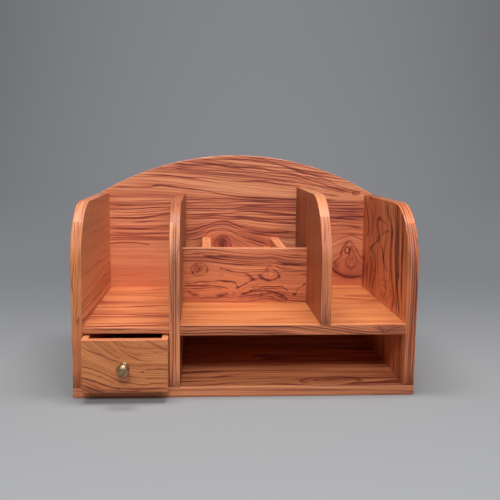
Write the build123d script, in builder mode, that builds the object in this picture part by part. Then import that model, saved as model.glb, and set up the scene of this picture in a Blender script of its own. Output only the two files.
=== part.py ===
from build123d import *
import os
from math import radians, tan

os.makedirs("parts", exist_ok=True)

# ---------------------------------------------------------------- driving dimensions, mm
# Frame: X to the right, Y to the back, Z up. The origin is under the middle of the carcass.
board = 10.0                  # sides, dividers, base, thick shelf, back and pocket boards
thin_board = 6.0              # thin shelf and the boards of the drawer box
inner_depth = 195.0           # front edges to the face of the back panel
side_height = 182.0           # outer sides and tall divider, from the desk
arch_rise = 45.0              # how far the back panel's arch stands above the sides

drawer_bay_width = 80.0
pocket_bay_width = 132.5
side_bay_width = 72.5         # compartment to the right of the short divider
pigeonhole_height = 50.0      # base to the underside of the thick shelf
drawer_bay_height = 52.0      # base to the underside of the thin shelf

corner_radius = 58.0          # front top corner of the sides and the tall divider
short_divider_rise = 120.0    # short divider, above the thick shelf
short_corner_radius = 66.0

pocket_rise = 59.0            # pocket boards, above the thick shelf
pocket_depth = 86.5           # pocket front to back panel
left_pocket_width = 20.0
middle_pocket_width = 71.5

edge_bevel = 0.6              # eased arris on every edge that a hand meets
housing_depth = 3.0           # how far a board goes into the one that holds it
housing_stop = 8.0            # length at the front where the housing doesn't show
housing_gap = 0.1             # room for glue at the blind end and over the shelf

# Wood screws
screw_length = 25.0
screw_radius = 1.5
screw_head_radius = 3.0
screw_recess = 0.3            # heads sit this far below the wood
countersink_angle = 90.0
pilot_gap = 0.05              # between a screw and its hole
base_screw_inset = 30.0       # along the base, from the front and back edges
rear_screw_inset = 22.0       # on the rear edges of the sides, from foot and top

# Drawer
drawer_open = 15.0            # how far the drawer stands out at rest
drawer_side_gap = 0.5
drawer_bottom_gap = 0.3
drawer_top_gap = 1.7
drawer_back_gap = 1.0         # to the back panel when the front is flush
rebate_depth = 3.0            # overlap of a drawer side's end and the front
drawer_housing = 2.0          # how far the drawer back goes into the drawer sides
drawer_back_inset = 4.0       # drawer sides run on past the drawer back
bottom_thickness = 3.0
bottom_lift = 4.0             # drawer bottom's underside above the drawer's lower edge
groove_depth = 2.5
groove_gap = 0.1

# Knob
knob_radius = 6.0
knob_length = 17.5
knob_foot_radius = 4.4
knob_foot_thickness = 1.2
knob_neck_radius = 2.7
knob_neck_at = 4.6            # from the drawer front to the thinnest place
knob_belly_at = 13.0          # from the drawer front to the widest place
knob_screw_radius = 1.5
knob_screw_bite = 6.0         # length of thread inside the knob
knob_hole_spare = 1.5         # blind hole beyond the screw's tip
screw_hole_gap = 0.2          # knob screw in the drawer front
knob_screw_head_radius = 3.0
knob_screw_head_height = 1.8
washer_radius = 4.0
washer_thickness = 0.8

# ---------------------------------------------------------------- places that follow
width = drawer_bay_width + pocket_bay_width + side_bay_width + 4 * board
depth = inner_depth + board
front_y = -depth / 2
back_y = front_y + inner_depth          # front face of the back panel
rear_y = back_y + board

left_x = -width / 2
drawer_bay_x = left_x + board
tall_x = drawer_bay_x + drawer_bay_width
pocket_bay_x = tall_x + board
short_x = pocket_bay_x + pocket_bay_width
side_bay_x = short_x + board
right_x = side_bay_x + side_bay_width   # inner face of the right side

thin_shelf_z = board + drawer_bay_height
thick_shelf_z = board + pigeonhole_height
shelf_top = thick_shelf_z + board
short_top = shelf_top + short_divider_rise
pocket_top = shelf_top + pocket_rise
arch_top = side_height + arch_rise

pocket_back_y = back_y - pocket_depth   # rear face of the pocket front
pocket_front_y = pocket_back_y - board
left_pocket_x = pocket_bay_x + left_pocket_width
right_pocket_x = left_pocket_x + board + middle_pocket_width

pilot_radius = screw_radius + pilot_gap
pilot_depth = screw_recess + screw_length + pilot_gap
left_middle = left_x + board / 2
tall_middle = tall_x + board / 2
short_middle = short_x + board / 2
right_middle = right_x + board / 2

side_screw_rows = (front_y + base_screw_inset, back_y - base_screw_inset)
divider_screw_y = front_y + inner_depth / 2
side_screw_heights = (board + rear_screw_inset, side_height - rear_screw_inset)
divider_screw_height = (shelf_top + short_top) / 2

drawer_width = drawer_bay_width - 2 * drawer_side_gap
drawer_height = drawer_bay_height - drawer_bottom_gap - drawer_top_gap
drawer_length = inner_depth - drawer_back_gap
drawer_left = drawer_bay_x + drawer_side_gap
drawer_right = drawer_left + drawer_width
drawer_middle = drawer_left + drawer_width / 2
drawer_low = board + drawer_bottom_gap
drawer_high = drawer_low + drawer_height
face_y = front_y - drawer_open          # front face of the drawer
drawer_end_y = face_y + drawer_length
front_inner_y = face_y + thin_board
side_start_y = front_inner_y - rebate_depth
drawer_back_y = drawer_end_y - drawer_back_inset - thin_board
bottom_z = drawer_low + bottom_lift
bottom_top = bottom_z + bottom_thickness
knob_z = drawer_low + drawer_height / 2


def write(piece, label):
    """Labels a finished piece and writes it to its own STEP file."""
    piece.part.label = label
    export_step(piece.part, f"parts/{label}.step")


def block(low, high):
    """A box between two opposite corners."""
    size = [b - a for a, b in zip(low, high)]
    middle = [(a + b) / 2 for a, b in zip(low, high)]
    with BuildPart() as piece:
        with Locations(tuple(middle)):
            Box(*size)
    return piece.part


def upright(inner_x, foot, top, radius):
    """A standing board from inner_x to the right, with a round front top corner and eased edges."""
    with BuildPart() as piece:
        with BuildSketch(Plane.YZ.offset(inner_x)):
            with BuildLine():
                front = Line((front_y, foot), (front_y, top - radius))
                nose = JernArc(front @ 1, front % 1, radius, -90)
                Polyline(nose @ 1, (back_y, top), (back_y, foot), front @ 0)
            make_face()
        extrude(amount=board)
        outline = piece.edges().filter_by(Axis.X, reverse=True)
        hidden = outline.sort_by(Axis.Z)[:2] + outline.sort_by(Axis.Y)[-2:]
        chamfer(outline - hidden, edge_bevel)
    return piece.part


def housing(face_x, direction, low_z, thickness):
    """The groove that a shelf slides into: open at the back and stopped short of the front."""
    far_x = face_x + direction * (housing_depth + housing_gap)
    return block(
        (min(face_x, far_x), front_y + housing_stop, low_z),
        (max(face_x, far_x), back_y, low_z + thickness + housing_gap),
    )


def pocket_housing(face_x, direction):
    """The upright groove that holds one end of the pocket front."""
    far_x = face_x + direction * (housing_depth + housing_gap)
    return block(
        (min(face_x, far_x), pocket_front_y, shelf_top),
        (max(face_x, far_x), pocket_back_y, pocket_top),
    )


def shelf(x_from, x_to, low_z, thickness):
    """A shelf with a tongue at each end for its housing, shouldered at the front."""
    with BuildPart() as piece:
        add(block((x_from, front_y, low_z), (x_to, back_y, low_z + thickness)))
        front_edges = piece.edges().filter_by(Axis.X).group_by(Axis.Y)[0]
        chamfer(front_edges, edge_bevel)
        add(
            block(
                (x_from - housing_depth, front_y + housing_stop, low_z),
                (x_to + housing_depth, back_y, low_z + thickness),
            )
        )
    return piece.part


def wood_screw():
    """A countersunk wood screw along +Z, its head just under the XY plane's wood."""
    head_slope = tan(radians(countersink_angle / 2))
    head_bottom = screw_recess + (screw_head_radius - screw_radius) / head_slope
    tip = screw_recess + screw_length
    with BuildPart() as piece:
        with BuildSketch(Plane.XZ):
            Polygon(
                (0, screw_recess),
                (screw_head_radius, screw_recess),
                (screw_radius, head_bottom),
                (screw_radius, tip),
                (0, tip),
                align=None,
            )
        revolve(axis=Axis.Z)
    return piece.part


def facing(spots, toward):
    """Planes at the given points whose normals point toward the given side."""
    return [Plane(origin=spot, z_dir=toward) for spot in spots]


def screws(spots, toward):
    """One wood screw at each spot, driven away from the screwdriver's side."""
    away = tuple(-value for value in toward)
    with BuildPart() as piece:
        with Locations(*facing(spots, away)):
            add(wood_screw())
    return piece


def countersinks(spots, toward):
    """Countersunk clearance holes through a board, cut in the piece being built."""
    mouth = screw_head_radius + screw_recess * tan(radians(countersink_angle / 2))
    with Locations(*facing(spots, toward)):
        CounterSinkHole(pilot_radius, mouth, board, countersink_angle)


def pilots(spots, toward):
    """Pilot holes as deep as the screws reach, cut in the piece being built."""
    with Locations(*facing(spots, toward)):
        Hole(pilot_radius, pilot_depth)


# ---------------------------------------------------------------- where the screws go
below = (0, 0, -1)
behind = (0, 1, 0)
base_spots = {x: [(x, y, 0) for y in side_screw_rows] for x in (left_middle, right_middle)}
base_spots[tall_middle] = [(tall_middle, divider_screw_y, 0)]
rear_spots = {x: [(x, rear_y, z) for z in side_screw_heights] for x in (left_middle, right_middle)}
rear_spots |= {x: [(x, rear_y, divider_screw_height)] for x in (tall_middle, short_middle)}
all_base_spots = sum(base_spots.values(), [])
all_rear_spots = sum(rear_spots.values(), [])

# ---------------------------------------------------------------- base
with BuildPart() as base_board:
    add(block((left_x, front_y, 0), (left_x + width, back_y, board)))
    rear_edges = base_board.edges().sort_by(Axis.Y)[-4:]
    chamfer(base_board.edges() - rear_edges, edge_bevel)
    countersinks(all_base_spots, below)
write(base_board, "base_board")

# ---------------------------------------------------------------- uprights
with BuildPart() as left_side:
    add(upright(left_x, board, side_height, corner_radius))
    add(housing(drawer_bay_x, -1, thin_shelf_z, thin_board), mode=Mode.SUBTRACT)
    pilots(base_spots[left_middle], below)
    pilots(rear_spots[left_middle], behind)
write(left_side, "left_side")

with BuildPart() as right_side:
    add(upright(right_x, board, side_height, corner_radius))
    add(housing(right_x, 1, thick_shelf_z, board), mode=Mode.SUBTRACT)
    pilots(base_spots[right_middle], below)
    pilots(rear_spots[right_middle], behind)
write(right_side, "right_side")

with BuildPart() as tall_divider:
    add(upright(tall_x, board, side_height, corner_radius))
    add(housing(tall_x, 1, thin_shelf_z, thin_board), mode=Mode.SUBTRACT)
    add(housing(pocket_bay_x, -1, thick_shelf_z, board), mode=Mode.SUBTRACT)
    add(pocket_housing(pocket_bay_x, -1), mode=Mode.SUBTRACT)
    pilots(base_spots[tall_middle], below)
    pilots(rear_spots[tall_middle], behind)
write(tall_divider, "tall_divider")

with BuildPart() as short_divider:
    add(upright(short_x, shelf_top, short_top, short_corner_radius))
    tongue_z = shelf_top - housing_depth
    add(block((short_x, front_y + housing_stop, tongue_z), (side_bay_x, back_y, shelf_top)))
    add(pocket_housing(short_x, 1), mode=Mode.SUBTRACT)
    pilots(rear_spots[short_middle], behind)
write(short_divider, "short_divider")

# ---------------------------------------------------------------- shelves
with BuildPart() as left_shelf:
    add(shelf(drawer_bay_x, tall_x, thin_shelf_z, thin_board))
write(left_shelf, "left_shelf")

with BuildPart() as right_shelf:
    add(shelf(pocket_bay_x, right_x, thick_shelf_z, board))
    slot_z = shelf_top - housing_depth - housing_gap
    add(
        block((short_x, front_y + housing_stop, slot_z), (side_bay_x, back_y, shelf_top)),
        mode=Mode.SUBTRACT,
    )
write(right_shelf, "right_shelf")

# ---------------------------------------------------------------- pockets
with BuildPart() as pocket_front:
    add(
        block(
            (pocket_bay_x - housing_depth, pocket_front_y, shelf_top),
            (short_x + housing_depth, pocket_back_y, pocket_top),
        )
    )
    chamfer(pocket_front.edges().filter_by(Axis.X).group_by(Axis.Z)[-1], edge_bevel)
    for x in (left_pocket_x, right_pocket_x):
        slot_y = pocket_back_y - housing_depth - housing_gap
        add(
            block((x, slot_y, shelf_top), (x + board, pocket_back_y, pocket_top)),
            mode=Mode.SUBTRACT,
        )
write(pocket_front, "pocket_front")

pocket_names = ("pocket_divider_left", "pocket_divider_right")
for name, x in zip(pocket_names, (left_pocket_x, right_pocket_x)):
    with BuildPart() as pocket_divider:
        tongue_y = pocket_back_y - housing_depth
        add(block((x, tongue_y, shelf_top), (x + board, back_y, pocket_top)))
        chamfer(pocket_divider.edges().filter_by(Axis.Y).group_by(Axis.Z)[-1], edge_bevel)
    write(pocket_divider, name)

# ---------------------------------------------------------------- back panel
with BuildPart() as back_panel:
    with BuildSketch(Plane.XZ.offset(-rear_y)):
        with BuildLine():
            feet = Polyline(
                (left_x, side_height), (left_x, 0), (left_x + width, 0), (left_x + width, side_height)
            )
            ThreePointArc(feet @ 1, (left_x + width / 2, arch_top), feet @ 0)
        make_face()
    extrude(amount=board)
    arch_edges = back_panel.edges().filter_by(GeomType.CIRCLE)
    rear_outline = back_panel.edges().filter_by(Axis.Y, reverse=True).group_by(Axis.Y)[-1]
    chamfer(rear_outline + arch_edges.sort_by(Axis.Y)[:1], edge_bevel)
    countersinks(all_rear_spots, behind)
write(back_panel, "back_panel")

# ---------------------------------------------------------------- fasteners of the carcass
write(screws(all_base_spots, below), "base_screws")
write(screws(all_rear_spots, behind), "back_screws")

# ---------------------------------------------------------------- drawer box
inner_left = drawer_left + thin_board
inner_right = drawer_right - thin_board
groove_low = bottom_z
groove_high = bottom_top + groove_gap

with BuildPart() as drawer_front:
    add(block((drawer_left, face_y, drawer_low), (drawer_right, front_inner_y, drawer_high)))
    chamfer(drawer_front.edges() - drawer_front.edges().group_by(Axis.Y)[-1], edge_bevel)
    for x in (drawer_left, inner_right):
        add(
            block((x, side_start_y, drawer_low), (x + thin_board, front_inner_y, drawer_high)),
            mode=Mode.SUBTRACT,
        )
    add(
        block(
            (drawer_left, front_inner_y - groove_depth, groove_low),
            (drawer_right, front_inner_y, groove_high),
        ),
        mode=Mode.SUBTRACT,
    )
    with Locations(Plane(origin=(drawer_middle, face_y, knob_z), z_dir=(0, -1, 0))):
        Hole(knob_screw_radius + screw_hole_gap, thin_board)
write(drawer_front, "drawer_front")

side_names = ("drawer_side_left", "drawer_side_right")
for name, outer_x, inward in zip(side_names, (drawer_left, drawer_right), (1, -1)):
    with BuildPart() as drawer_side:
        inner_x = outer_x + inward * thin_board
        groove_x = inner_x - inward * groove_depth
        housing_x = inner_x - inward * (drawer_housing + groove_gap)
        low_x, high_x = sorted((outer_x, inner_x))
        add(block((low_x, side_start_y, drawer_low), (high_x, drawer_end_y, drawer_high)))
        chamfer(drawer_side.edges().filter_by(Axis.Y).group_by(Axis.Z)[-1], edge_bevel)
        low_x, high_x = sorted((groove_x, inner_x))
        add(
            block((low_x, side_start_y, groove_low), (high_x, drawer_end_y, groove_high)),
            mode=Mode.SUBTRACT,
        )
        low_x, high_x = sorted((housing_x, inner_x))
        add(
            block(
                (low_x, drawer_back_y, bottom_top),
                (high_x, drawer_back_y + thin_board, drawer_high),
            ),
            mode=Mode.SUBTRACT,
        )
    write(drawer_side, name)

with BuildPart() as drawer_back:
    add(
        block(
            (inner_left - drawer_housing, drawer_back_y, bottom_top),
            (inner_right + drawer_housing, drawer_back_y + thin_board, drawer_high),
        )
    )
    chamfer(drawer_back.edges().filter_by(Axis.X).group_by(Axis.Z)[-1], edge_bevel)
write(drawer_back, "drawer_back")

bottom_reach = groove_depth - groove_gap
with BuildPart() as drawer_bottom:
    add(
        block(
            (inner_left - bottom_reach, front_inner_y - bottom_reach, bottom_z),
            (inner_right + bottom_reach, drawer_back_y + thin_board, bottom_top),
        )
    )
write(drawer_bottom, "drawer_bottom")

# ---------------------------------------------------------------- knob
# The knob is turned about Z on its own, foot at the origin, and then set on the drawer front.
crown_rise = knob_length - knob_belly_at
crown_radius = (knob_radius**2 + crown_rise**2) / (2 * crown_rise)
with BuildPart() as turned_knob:
    with BuildSketch(Plane.XZ):
        with BuildLine():
            stem = Polyline(
                (0, 0),
                (knob_foot_radius, 0),
                (knob_foot_radius, knob_foot_thickness),
                (knob_neck_radius, knob_neck_at),
                (knob_radius, knob_belly_at),
            )
            crown = RadiusArc(stem @ 1, (0, knob_length), -crown_radius)
            Line(crown @ 1, stem @ 0)
        make_face()
    revolve(axis=Axis.Z)

knob_foot = (drawer_middle, face_y, knob_z)
with BuildPart() as drawer_knob:
    with Locations(Plane(origin=knob_foot, z_dir=(0, -1, 0))):
        add(turned_knob.part)
    with Locations(Plane(origin=knob_foot, z_dir=(0, 1, 0))):
        Hole(knob_screw_radius + pilot_gap, knob_screw_bite + knob_hole_spare)
write(drawer_knob, "drawer_knob")

washer_plane = Plane(origin=(drawer_middle, front_inner_y, knob_z), z_dir=(0, 1, 0))
with BuildPart() as knob_washer:
    with BuildSketch(washer_plane):
        Circle(washer_radius)
        Circle(knob_screw_radius + screw_hole_gap, mode=Mode.SUBTRACT)
    extrude(amount=washer_thickness)
write(knob_washer, "knob_washer")

head_plane = washer_plane.offset(washer_thickness)
knob_screw_length = washer_thickness + thin_board + knob_screw_bite
with BuildPart() as knob_screw:
    with BuildSketch(head_plane):
        Circle(knob_screw_head_radius)
    extrude(amount=knob_screw_head_height)
    with BuildSketch(head_plane):
        Circle(knob_screw_radius)
    extrude(amount=-knob_screw_length)
write(knob_screw, "knob_screw")
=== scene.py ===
import bpy
import numpy as np
from mathutils import Matrix, Vector


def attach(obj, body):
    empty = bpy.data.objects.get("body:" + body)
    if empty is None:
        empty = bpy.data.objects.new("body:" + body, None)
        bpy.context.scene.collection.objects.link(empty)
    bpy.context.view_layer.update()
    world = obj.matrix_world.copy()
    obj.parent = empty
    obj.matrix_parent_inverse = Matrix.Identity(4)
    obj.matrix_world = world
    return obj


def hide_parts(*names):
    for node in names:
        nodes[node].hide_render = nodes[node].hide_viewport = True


# Desk organizer in rosewood: looks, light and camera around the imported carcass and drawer.
# Lengths are millimetres, which mm turns to metres for Blender. The studio is in metres.
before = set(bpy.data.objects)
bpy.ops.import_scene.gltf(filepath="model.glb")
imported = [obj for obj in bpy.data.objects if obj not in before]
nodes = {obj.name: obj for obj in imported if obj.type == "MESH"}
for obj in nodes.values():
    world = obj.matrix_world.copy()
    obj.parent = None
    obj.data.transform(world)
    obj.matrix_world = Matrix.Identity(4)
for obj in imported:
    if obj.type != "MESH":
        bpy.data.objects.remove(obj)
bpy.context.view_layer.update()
mm = 0.001
usualSpread = (0.3, 0.7)  # nearly all values of a noise lie between these
linesPerRamp = 9  # three stops each, of the 32 that a ramp can hold
endless = 1e6  # a radius so long that the depth in the board doesn't count
leaning = 0.7071  # a normal's share along an axis when it leans 45 degrees
print("frame loaded:", len(nodes), "boards and fittings")


def linear(value):  # one display channel, 0 to 255, to scene light
    value = value / 255
    return value / 12.92 if value <= 0.04045 else ((value + 0.055) / 1.055) ** 2.4


def paint(red, green, blue):
    return (linear(red), linear(green), linear(blue), 1.0)


# Shader helpers: each adds a node and gives back its output.
def addNode(tree, kind, inputs, output=0, **settings):
    node = tree.nodes.new(kind)
    for name, value in settings.items():
        setattr(node, name, value)
    for key, value in inputs.items():
        if isinstance(value, bpy.types.NodeSocket):
            tree.links.new(value, node.inputs[key])
        else:
            node.inputs[key].default_value = value
    return node.outputs[output]


def calc(tree, operation, *values):
    return addNode(tree, "ShaderNodeMath", dict(enumerate(values)), operation=operation)


def addUp(tree, parts, start=0.0):
    total = start
    for part in parts:
        total = calc(tree, "ADD", part, total)
    return total


def blend(tree, factor, first, second):
    values = {0: factor, 6: first, 7: second}
    return addNode(tree, "ShaderNodeMix", values, 2, data_type="RGBA")


def remap(tree, value, low, high, start=0.0, end=1.0, kind="LINEAR"):
    values = {0: value, 1: low, 2: high, 3: start, 4: end}
    return addNode(tree, "ShaderNodeMapRange", values, interpolation_type=kind)


def nest(tree, entries, build, kind="NodeSocketFloat"):
    # Nodes kept in a group of their own: build(group, sockets) gives the socket sent out.
    group = bpy.data.node_groups.new("figurePart", "ShaderNodeTree")
    for name, (socketKind, value) in entries.items():
        group.interface.new_socket(name=name, in_out="INPUT", socket_type=socketKind)
    group.interface.new_socket(name="Result", in_out="OUTPUT", socket_type=kind)
    source = group.nodes.new("NodeGroupInput").outputs
    sink = group.nodes.new("NodeGroupOutput").inputs
    group.links.new(build(group, source), sink[0])
    node = tree.nodes.new("ShaderNodeGroup")
    node.node_tree = group
    for name, (socketKind, value) in entries.items():
        tree.links.new(value, node.inputs[name])
    return node.outputs[0]


def ramp(tree, value, stops, kind="LINEAR"):
    def build(group, source):
        node = group.nodes.new("ShaderNodeValToRGB")
        node.color_ramp.interpolation = kind
        elements = node.color_ramp.elements
        while len(elements) < len(stops):
            elements.new(1.0)
        for element, (place, colour) in zip(elements, stops):
            element.position = place
            element.color = colour if isinstance(colour, tuple) else (colour, colour, colour, 1.0)
        group.links.new(source[0], node.inputs[0])
        return node.outputs[0]

    return nest(tree, {"Value": ("NodeSocketFloat", value)}, build, "NodeSocketColor")


def noise(tree, spot, sizes, seed=0.0, detail=2.0, rough=0.5):
    # Noise whose lumps measure sizes along the three directions of the spot.
    scaled = addNode(tree, "ShaderNodeVectorMath", {0: spot, 1: sizes}, operation="DIVIDE")
    moved = addNode(
        tree, "ShaderNodeVectorMath", {0: scaled, 1: (seed, 2 * seed, -seed)}, operation="ADD"
    )
    values = {"Vector": moved, "Scale": 1.0, "Detail": detail, "Roughness": rough}
    return addNode(tree, "ShaderNodeTexNoise", values)


def reach(tree, spot, place):
    # Distance from (along, across) in units of the two radii, on axes turned by an angle.
    along, across, longRadius, wideRadius, turn = place
    values = {
        "Vector": spot,
        "Location": (along, across, 0.0),
        "Rotation": (0.0, 0.0, np.radians(turn)),
        "Scale": (longRadius, wideRadius, endless),
    }
    local = addNode(tree, "ShaderNodeMapping", values, vector_type="TEXTURE")
    return addNode(tree, "ShaderNodeVectorMath", {0: local}, 1, operation="LENGTH")


def bell(tree, value, amount):  # amount times e to the minus value squared
    square = calc(tree, "MULTIPLY", value, value)
    fall = calc(tree, "EXPONENT", calc(tree, "MULTIPLY", square, -1.0))
    return calc(tree, "MULTIPLY", fall, amount)


def hill(tree, spot, item):
    *place, amount = item
    return bell(tree, reach(tree, spot, place), amount)


def loop(tree, spot, item):
    # A dark oval ring: a bell on the distance from the oval's rim.
    *place, width, amount = item
    off = calc(tree, "SUBTRACT", reach(tree, spot, place), 1.0)
    return bell(tree, calc(tree, "DIVIDE", off, width), amount)


def lineRamps(tree, height, lines):
    # Growth lines as a function of the ring height: each line is a narrow peak in a ramp.
    # A line is (height, fade below, fade above, darkness).
    ordered = sorted(lines)
    margin = 1
    parts = []
    for first in range(0, len(ordered), linesPerRamp):
        chunk = ordered[first : first + linesPerRamp]
        low = chunk[0][0] - chunk[0][1] - margin
        high = chunk[-1][0] + chunk[-1][2] + margin
        stops = [(0.0, 0.0)]
        edge = low
        for level, below, above, dark in chunk:
            start = max(level - below, edge)
            stops += [((start - low) / (high - low), 0.0)]
            stops += [((level - low) / (high - low), dark)]
            edge = level + above
            stops += [((edge - low) / (high - low), 0.0)]
        parts.append(ramp(tree, remap(tree, height, low, high), stops))
    return parts


def tremble(tree, spot, sizes, seed):
    # The spot shifted by noise, so that the given lines waver; sizes are (long, wide, shift).
    for number, (long, wide, shift) in enumerate(sizes):
        stretch = (1.0 / long, 1.0 / wide, 1.0 / wide)
        scaled = addNode(tree, "ShaderNodeVectorMath", {0: spot, 1: stretch}, operation="MULTIPLY")
        values = {"Vector": scaled, "Scale": 1.0, "Detail": 1.0, "W": seed + number}
        cloud = addNode(tree, "ShaderNodeTexNoise", values, "Color", noise_dimensions="4D")
        even = addNode(tree, "ShaderNodeVectorMath", {0: cloud, 1: (0.5, 0.5, 0.5)}, operation="SUBTRACT")
        values = {0: even, 1: (2 * shift, 2 * shift, 0.0), 2: spot}
        spot = addNode(tree, "ShaderNodeVectorMath", values, operation="MULTIPLY_ADD")
    return spot


veinEnds = [(0.0, 0.0), (0.05, 1.0), (0.95, 1.0), (1.0, 0.0)]  # strength along a vein


def vein(tree, axes, item, swell):
    # A dark streak along a given line: ramp of height over length, then a bell across it.
    points, width, amount, *turned = item
    run, rise = (axes[1], axes[0]) if turned else (axes[0], axes[1])
    places = [point[0] for point in points]
    rises = [point[1] for point in points]
    low, high, foot, top = places[0], places[-1], min(rises) - 1, max(rises) + 1
    share = remap(tree, run, low, high)
    stops = [((x - low) / (high - low), (z - foot) / (top - foot)) for x, z in points]
    path = remap(tree, ramp(tree, share, stops, "CARDINAL"), 0.0, 1.0, foot, top)
    off = calc(tree, "DIVIDE", calc(tree, "SUBTRACT", rise, path), calc(tree, "MULTIPLY", swell, width))
    ends = ramp(tree, share, veinEnds)
    return calc(tree, "MULTIPLY", bell(tree, off, amount), calc(tree, "MULTIPLY", ends, swell))


def profile(tree, value, points, kind="LINEAR"):
    # A curve given by points of places against levels, as a ramp. The top gets a hair more, so that a
    # level curve still has a range.
    places = [point[0] for point in points]
    levels = [point[1] for point in points]
    low, high, foot, top = places[0], places[-1], min(levels), max(levels) + 0.001
    stops = [((x - low) / (high - low), (y - foot) / (top - foot)) for x, y in points]
    shape = ramp(tree, remap(tree, value, low, high), stops, kind)
    return remap(tree, shape, 0.0, 1.0, foot, top)


def drift(tree, axes, item):
    # Lines sink along the board by a given curve, only above a height.
    points, start, end = item
    rise = remap(tree, axes[1], start, end, kind="SMOOTHSTEP")
    return calc(tree, "MULTIPLY", profile(tree, axes[0], points, "B_SPLINE"), rise)


ring = {
    "tone": [  # darkness across one ring, which darkens slowly and stops sharply
        (0.0, 0.0), (0.3, 0.06), (0.6, 0.3), (0.78, 0.8), (0.88, 1.0), (0.95, 0.7), (1.0, 0.0),
    ],
    "crowding": 3.0,  # rings gained where the tree grew slowly
    "faint": (0.36, 0.62),  # noise at which a ring is gone, and at which it is full
    "apart": 1.37,  # lump size of that noise in rings, so that neighbours differ
    "band": (0.38, 0.62),  # noise at the palest and the darkest place of the soft bands
    "streak": (0.38, 0.66),  # and of the fine streaks
    "through": 90,  # lump size through the board
    "streakThrough": 60,
}


def growth(tree, axes, height, seed, sizes):
    # Rings counted along the height, some strong and some faint, over soft bands and streaks.
    long, gap, gain, fineGain = sizes
    through = ring["through"]
    spot = addNode(tree, "ShaderNodeCombineXYZ", {0: axes[0], 1: height, 2: axes[2]})
    uneven = noise(tree, spot, (long, gap * 4, through), seed + 3, 2.0)
    crowding = remap(tree, uneven, *usualSpread, 0.0, ring["crowding"])
    count = calc(tree, "ADD", calc(tree, "DIVIDE", height, gap), crowding)
    beat = ramp(tree, calc(tree, "FRACT", count), ring["tone"])
    whole = calc(tree, "FLOOR", count)
    place = addNode(tree, "ShaderNodeCombineXYZ", {0: axes[0], 1: whole, 2: axes[2]})
    strong = noise(tree, place, (long * 0.6, ring["apart"], through), seed + 9, 1.0)
    beat = calc(tree, "MULTIPLY", beat, remap(tree, strong, *ring["faint"]))
    bands = noise(tree, spot, (long, gap * 2, through), seed + 5, 2.0, 0.5)
    streaks = noise(tree, spot, (long * 0.7, gap * 0.28, ring["streakThrough"]), seed + 7, 2.0, 0.6)
    parts = [
        remap(tree, beat, 0.0, 1.0, -gain / 4, gain),
        remap(tree, bands, *ring["band"], -gain / 4, gain / 4),
        remap(tree, streaks, *ring["streak"], -fineGain / 2, fineGain / 2),
    ]
    return addUp(tree, parts)


def darkness(tree, spot, look):
    # How dark the wood is, 0 to 1: growth lines on a ring height that is bent by knots, and marks, some
    # of which are painted light or painted shade.
    split = tree.nodes.new("ShaderNodeSeparateXYZ")
    tree.links.new(spot, split.inputs[0])
    axes = split.outputs
    seed = look["seed"]
    depth = calc(tree, "SUBTRACT", axes[2], look["face"])
    parts = [axes[1], calc(tree, "MULTIPLY", axes[0], look["slope"])]
    parts += [calc(tree, "MULTIPLY", depth, look["lean"])]
    for number, (*sizes, amount) in enumerate(look["waver"]):
        lumps = noise(tree, spot, tuple(sizes), seed + number, 2.0)
        parts.append(remap(tree, lumps, 0.0, 1.0, -amount, amount))
    near = 1.0
    if "deep" in look:  # full down to 0.4 of that depth, then fading
        near = remap(tree, calc(tree, "ABSOLUTE", depth), look["deep"] * 0.4, look["deep"], 1.0, 0.0)
    parts += [calc(tree, "MULTIPLY", hill(tree, spot, item), near) for item in look["hills"]]
    parts += [drift(tree, axes, item) for item in look["drifts"]]
    height = addUp(tree, parts)
    rings = growth(tree, axes, height, seed, look["rings"])
    if "gains" in look:
        rings = calc(tree, "MULTIPLY", rings, profile(tree, height, look["gains"]))
    for item in look["calm"]:
        rings = calc(tree, "MULTIPLY", rings, calc(tree, "SUBTRACT", 1.0, hill(tree, spot, item)))
    dark = [rings]
    if "bands" in look:
        dark.append(profile(tree, height, look["bands"]))
    dark += lineRamps(tree, height, look["lines"])
    drawn = tremble(tree, spot, look["shake"], seed)
    split = tree.nodes.new("ShaderNodeSeparateXYZ")
    tree.links.new(drawn, split.inputs[0])
    beads = noise(tree, spot, look["beads"], seed + 15, 1.0)
    swell = remap(tree, beads, *usualSpread, *look["swell"])
    marks = [hill(tree, drawn, item) for item in look["smudges"]]
    marks += [calc(tree, "MULTIPLY", loop(tree, drawn, item), swell) for item in look["loops"]]
    marks += [vein(tree, split.outputs, item, swell) for item in look["veins"]]
    if marks:
        dark.append(calc(tree, "MULTIPLY", addUp(tree, marks), near))
    return addUp(tree, dark, look["base"])


orders = {  # along the grain, across the board, through it
    "xz": (0, 2, 1), "xy": (0, 1, 2), "yz": (1, 2, 0),
    "zy": (2, 1, 0), "zx": (2, 0, 1), "yx": (1, 0, 2),
}
rosewood = {
    "pale": (238, 158, 108),
    "warm": (217, 136, 90),
    "brown": (180, 102, 72),
    "dark": (128, 66, 52),
    "stops": {"pale": 0.0, "warm": 0.33, "brown": 0.66, "dark": 1.0},  # darkness of each colour
    "roughness": 0.44,
    "roughSwing": (-0.06, 0.08),
    "shine": 0.38,
    "fibre": (24, 0.6, 0.6, 0.18),  # lump sizes along, across and through the board, darkness
    "blotch": (120, 45, 60, 0.08),
    "bump": {"Strength": 0.12, "Distance": 0.0002},
}


def grainSpot(tree, position, order):
    split = tree.nodes.new("ShaderNodeSeparateXYZ")
    tree.links.new(position, split.inputs[0])
    axes = [split.outputs[axis] for axis in orders[order]]
    return addNode(tree, "ShaderNodeCombineXYZ", dict(enumerate(axes)))


def modelSpot(tree, coordinates):  # the place in the model's frame in millimetres
    place = {0: coordinates.outputs["Object"], 3: 1 / mm}
    return addNode(tree, "ShaderNodeVectorMath", place, operation="SCALE")


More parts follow.
